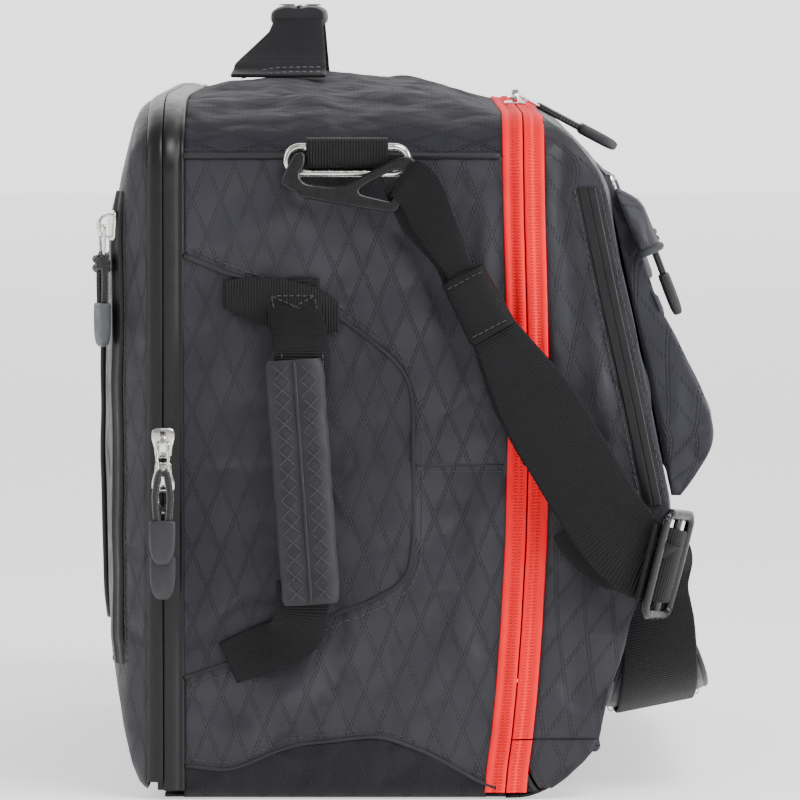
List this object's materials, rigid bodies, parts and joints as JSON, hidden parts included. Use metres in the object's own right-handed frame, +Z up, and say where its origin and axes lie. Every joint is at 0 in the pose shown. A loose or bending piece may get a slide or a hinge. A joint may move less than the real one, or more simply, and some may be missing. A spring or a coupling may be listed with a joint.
{
  "type": "hockey equipment bag",
  "caption": "Soft zip-up team bag: wide front lid with a red zip, opening rear panel, pockets, three grab handles and a detachable shoulder strap.",
  "frame": {"origin": "centre of the base's underside between the end panels, on the floor", "axes": "+X along the bag from end to end, -Y towards the lid and front pocket, +Z up"},
  "size_m": [0.5739, 0.2925, 0.37],
  "materials": {
    "body_fabric": "charcoal coated twill, embossed with a double dashed diamond net, soft sheen",
    "lining": "smooth dark lining over closed-cell foam",
    "red_zip": "bright red woven zip tape with a moulded coil",
    "black_zip": "water-repellent coated zip tape, glossy",
    "webbing": "ribbed woven webbing, matt",
    "handle_webbing": "flat ribbed webbing with light stitching",
    "grip_wrap": "twill wrap over foam, zigzag stitched",
    "piping": "covered piping cord",
    "ring_metal": "bright nickel-plated wire",
    "slider_metal": "bright nickel-plated zinc casting",
    "hook_metal": "black anodised, satin",
    "glide_plastic": "black acetal, glossy",
    "pull_rubber": "moulded rubber end on a braided cord",
    "pad_fabric": "smooth cover with a mesh underside over foam",
    "board": "stiffening board with a fabric cover"
  },
  "bodies": {
    "main_body": {"base_panel": "body_fabric", "base_board": "board", "end_panel_left": "body_fabric", "end_panel_right": "body_fabric", "top_panel": "body_fabric", "divider_panel": "lining", "end_patch_left": "body_fabric", "end_patch_right": "body_fabric", "end_piping": "piping", "main_zip_tape_body": "red_zip", "rear_zip_tape_body": "black_zip", "strap_loop_left": "webbing", "strap_loop_right": "webbing", "strap_ring_left": "ring_metal", "strap_ring_right": "ring_metal", "side_handle_left_webbing": "webbing", "side_handle_right_webbing": "webbing", "top_handle_webbing": "handle_webbing"},
    "main_lid": {"lid_front_panel": "body_fabric", "lid_gusset_left": "body_fabric", "lid_gusset_right": "body_fabric", "main_zip_tape_lid": "red_zip", "front_zip_strip": "black_zip"},
    "main_slider_l": {"main_slider_left": "slider_metal"},
    "main_slider_r": {"main_slider_right": "slider_metal"},
    "main_pull_l": {"main_pull_left": "pull_rubber"},
    "main_pull_r": {"main_pull_right": "pull_rubber"},
    "front_pocket": {"pocket_front_panel": "body_fabric", "pocket_gussets": "body_fabric", "pocket_zip_tape": "black_zip", "pocket_garages": "body_fabric"},
    "pocket_slider_l": {"pocket_slider_left": "slider_metal"},
    "pocket_slider_r": {"pocket_slider_right": "slider_metal"},
    "pocket_pull_l": {"pocket_pull_left": "pull_rubber"},
    "pocket_pull_r": {"pocket_pull_right": "pull_rubber"},
    "rear_panel": {"rear_panel_shell": "body_fabric", "rear_zip_tape_panel": "black_zip", "rear_pocket_panel": "body_fabric", "rear_pocket_zip": "black_zip"},
    "rear_pocket_slider_body": {"rear_pocket_slider": "slider_metal"},
    "rear_pocket_pull_body": {"rear_pocket_pull": "pull_rubber"},
    "rear_slider_upper_body": {"rear_slider_upper": "slider_metal"},
    "rear_slider_lower_body": {"rear_slider_lower": "slider_metal"},
    "rear_pull_upper_body": {"rear_pull_upper": "pull_rubber"},
    "rear_pull_lower_body": {"rear_pull_lower": "pull_rubber"},
    "top_handle": {"top_handle_grip": "grip_wrap"},
    "side_handle_l": {"side_handle_left_grip": "grip_wrap"},
    "side_handle_r": {"side_handle_right_grip": "grip_wrap"},
    "shoulder_strap": {"hook_left": "hook_metal", "hook_right": "hook_metal", "strap_webbing_left": "webbing", "strap_webbing_right": "webbing", "strap_front_webbing": "webbing", "tri_glide_left": "glide_plastic", "tri_glide_right": "glide_plastic", "shoulder_pad": "pad_fabric"}
  },
  "joints": [
    {"name": "main_lid_open", "type": "hinge", "parent": "main_body", "child": "main_lid", "pos_m": [0, -0.123, 0.026], "axis": [1, 0, 0], "range_deg": [0, 75]},
    {"name": "strap_swing", "type": "hinge", "parent": "main_body", "child": "shoulder_strap", "pos_m": [0, 0.017, 0.299], "axis": [-1, 0, 0], "range_deg": [0, 150]},
    {"name": "rear_panel_open", "type": "hinge", "parent": "main_body", "child": "rear_panel", "pos_m": [0, 0.089, 0.008], "axis": [-1, 0, 0], "range_deg": [0, 75]},
    {"name": "front_pocket_open", "type": "hinge", "parent": "main_lid", "child": "front_pocket", "pos_m": [0, -0.1615, 0.139], "axis": [1, 0, 0], "range_deg": [0, 40]},
    {"name": "top_handle_fold", "type": "hinge", "parent": "main_body", "child": "top_handle", "pos_m": [0, 0.0195, 0.338], "axis": [1, 0, 0], "range_deg": [-50, 50], "deforming": ["top_handle_webbing"]},
    {"name": "side_handle_left_swing", "type": "hinge", "parent": "main_body", "child": "side_handle_l", "pos_m": [-0.262, 0.0147, 0.15], "axis": [0, 0, 1], "range_deg": [-40, 40], "deforming": ["side_handle_left_webbing"]},
    {"name": "side_handle_right_swing", "type": "hinge", "parent": "main_body", "child": "side_handle_r", "pos_m": [0.262, 0.0147, 0.15], "axis": [0, 0, 1], "range_deg": [-40, 40], "deforming": ["side_handle_right_webbing"]},
    {"name": "main_slider_left_slide", "type": "slide", "parent": "main_lid", "child": "main_slider_l", "axis": [1, 0, 0], "range_m": [-0.215, 0]},
    {"name": "main_slider_right_slide", "type": "slide", "parent": "main_lid", "child": "main_slider_r", "axis": [1, 0, 0], "range_m": [0, 0.215]},
    {"name": "rear_slider_upper_slide", "type": "slide", "parent": "main_body", "child": "rear_slider_upper_body", "axis": [0, 0, 1], "range_m": [0, 0.11]},
    {"name": "rear_slider_lower_slide", "type": "slide", "parent": "main_body", "child": "rear_slider_lower_body", "axis": [0, 0, 1], "range_m": [-0.12, 0]},
    {"name": "rear_pocket_slider_slide", "type": "slide", "parent": "rear_panel", "child": "rear_pocket_slider_body", "axis": [0, 0, 1], "range_m": [-0.12, 0]},
    {"name": "pocket_slider_left_slide", "type": "slide", "parent": "front_pocket", "child": "pocket_slider_l", "axis": [1, 0, 0], "range_m": [0, 0.15]},
    {"name": "pocket_slider_right_slide", "type": "slide", "parent": "front_pocket", "child": "pocket_slider_r", "axis": [1, 0, 0], "range_m": [-0.15, 0]},
    {"name": "main_pull_left_swing", "type": "hinge", "parent": "main_slider_l", "child": "main_pull_l", "pos_m": [-0.011, -0.088, 0.326], "axis": [-1, 0, 0], "range_deg": [0, 100]},
    {"name": "main_pull_right_swing", "type": "hinge", "parent": "main_slider_r", "child": "main_pull_r", "pos_m": [0.011, -0.088, 0.326], "axis": [-1, 0, 0], "range_deg": [0, 100]},
    {"name": "rear_pull_upper_swing", "type": "hinge", "parent": "rear_slider_upper_body", "child": "rear_pull_upper_body", "pos_m": [-0.268, 0.08, 0.167], "axis": [0, 1, 0], "range_deg": [0, 110]},
    {"name": "rear_pull_lower_swing", "type": "hinge", "parent": "rear_slider_lower_body", "child": "rear_pull_lower_body", "pos_m": [-0.268, 0.08, 0.151], "axis": [0, 1, 0], "range_deg": [0, 11]},
    {"name": "rear_pocket_pull_swing", "type": "hinge", "parent": "rear_pocket_slider_body", "child": "rear_pocket_pull_body", "pos_m": [-0.2421, 0.10909, 0.268], "axis": [0.9255, 0.3786, 0], "range_deg": [0, 140]},
    {"name": "pocket_pull_left_swing", "type": "hinge", "parent": "pocket_slider_l", "child": "pocket_pull_l", "pos_m": [-0.212, -0.14192, 0.27813], "axis": [-1, 0, 0], "range_deg": [0, 120]},
    {"name": "pocket_pull_right_swing", "type": "hinge", "parent": "pocket_slider_r", "child": "pocket_pull_r", "pos_m": [0.212, -0.14192, 0.27813], "axis": [-1, 0, 0], "range_deg": [0, 120]}
  ],
  "couplings": [
    {"joint": "strap_swing", "follows": "main_lid_open", "ratio": 2}
  ]
}
